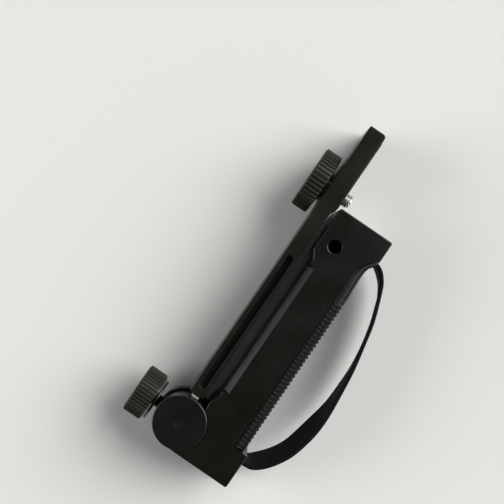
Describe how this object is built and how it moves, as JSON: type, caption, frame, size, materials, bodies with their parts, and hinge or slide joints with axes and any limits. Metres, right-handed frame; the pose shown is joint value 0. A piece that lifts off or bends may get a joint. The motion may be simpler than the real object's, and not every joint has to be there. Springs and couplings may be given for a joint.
{
  "type": "folding camera flash bracket",
  "caption": "Folding flash bracket: hand grip with accessory shoe, ribbed palm panel and strap, hinged to a slotted camera rail with a captive camera screw and a lock knob.",
  "frame": {"origin": "where the hinge axis meets the back face that the folded bracket lies on", "axes": "+Y up the grip from the hinge to the shoe, +X from the rail to the palm side, +Z out of the front face, along the hinge axis"},
  "size_m": [0.076, 0.1633, 0.0306],
  "materials": {
    "black_abs": "moulded black ABS, fine satin texture",
    "knob_abs": "moulded black ABS, satin",
    "palm_rubber": "black ribbed rubber, matt",
    "pad_rubber": "black rubber, matt",
    "webbing": "woven black nylon webbing",
    "zinc": "bare zinc casting",
    "steel": "bright zinc-plated steel",
    "shoe_steel": "bright nickel-plated sheet steel",
    "blackened_steel": "black-painted steel washer",
    "brass": "turned brass",
    "nylon": "black nylon"
  },
  "bodies": {
    "grip": {"front_shell": "black_abs", "rear_shell": "black_abs", "front_hinge_cap": "black_abs", "rear_hinge_cap": "black_abs", "hinge_bolt": "steel", "hinge_nut": "steel", "front_friction_washer": "nylon", "rear_friction_washer": "nylon", "cold_shoe": "shoe_steel", "shoe_spring": "shoe_steel", "shoe_screw_front": "steel", "shoe_screw_rear": "steel", "upper_shell_screw": "steel", "lower_shell_screw": "steel", "palm_panel": "palm_rubber", "strap": "webbing", "upper_strap_pin": "steel", "lower_strap_pin": "steel"},
    "rail_arm": {"hinge_knuckle": "zinc", "lock_stud": "steel", "rail": "black_abs", "rail_screw_inner": "steel", "rail_screw_outer": "steel", "camera_pad": "pad_rubber"},
    "clamp": {"clamp_washer": "blackened_steel"},
    "lock": {"lock_knob": "knob_abs", "lock_insert": "brass"},
    "slider": {"slide_washer": "nylon"},
    "screw": {"camera_screw": "steel", "camera_knob": "knob_abs", "retaining_clip": "steel"}
  },
  "joints": [
    {"name": "rail_fold", "type": "hinge", "parent": "grip", "child": "rail_arm", "pos_m": [0, 0, 0.015], "axis": [0, 0, 1], "range_deg": [0, 90]},
    {"name": "clamp_travel", "type": "slide", "parent": "rail_arm", "child": "clamp", "axis": [1, 0, 0], "range_m": [0, 0.00101]},
    {"name": "lock_turn", "type": "hinge", "parent": "clamp", "child": "lock", "pos_m": [-0.0148, 0, 0.015], "axis": [1, 0, 0], "range_deg": [0, 360]},
    {"name": "screw_slide", "type": "slide", "parent": "rail_arm", "child": "slider", "axis": [0, 1, 0], "range_m": [0, 0.022]},
    {"name": "screw_turn", "type": "hinge", "parent": "slider", "child": "screw", "pos_m": [-0.0042, 0.12, 0.015], "axis": [1, 0, 0], "continuous": true}
  ],
  "couplings": [
    {"joint": "clamp_travel", "follows": "lock_turn", "m_per_rad": 0.00015915}
  ]
}
